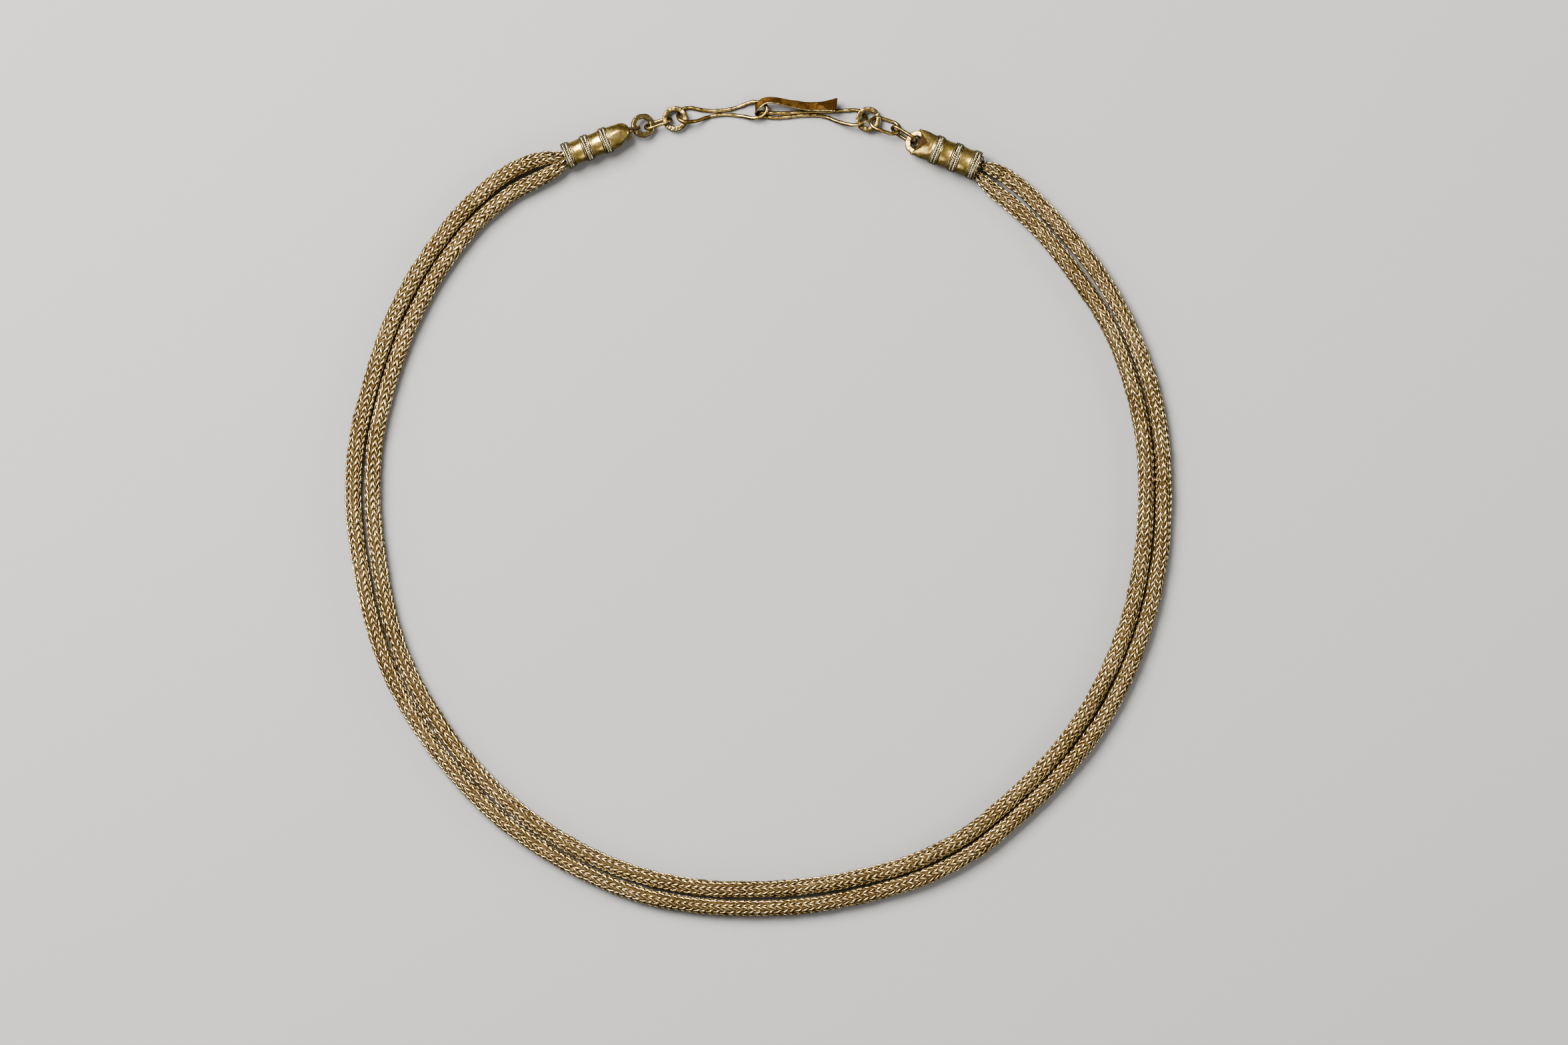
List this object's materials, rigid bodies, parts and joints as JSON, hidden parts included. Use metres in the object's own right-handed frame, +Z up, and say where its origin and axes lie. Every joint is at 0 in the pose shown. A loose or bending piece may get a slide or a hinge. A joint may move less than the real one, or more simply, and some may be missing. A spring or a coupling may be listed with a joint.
{
  "type": "mesh necklace",
  "caption": "Necklace of woven gold wire chains side by side, drawn into banded end caps and closed by rings, links and a hook and eye.",
  "frame": {"origin": "the middle of the necklace's box, on the surface that it lies on", "axes": "+Z up from the surface, +Y from the necklace's middle towards its clasp, +X to the right as seen from above"},
  "size_m": [0.1363, 0.1351, 0.005],
  "materials": {
    "woven_gold": "fine gold wire, dull in its recesses",
    "cap_gold": "burnished gold sheet with braided wire bands",
    "ring_gold": "matte hammered gold",
    "wire_gold": "drawn and hammered gold wire",
    "silver_wire": "grey silver wire"
  },
  "bodies": {
    "root": {"outer_chain": "woven_gold", "inner_chain": "woven_gold", "left_cap": "cap_gold", "right_cap": "cap_gold", "left_end_pin": "silver_wire", "right_end_pin": "silver_wire", "left_cap_ring": "ring_gold", "left_small_link": "wire_gold", "left_large_ring": "ring_gold", "eye_link": "wire_gold", "hook": "wire_gold", "right_large_ring": "ring_gold", "right_oval_link": "wire_gold", "right_small_link": "wire_gold"}
  },
  "joints": []
}
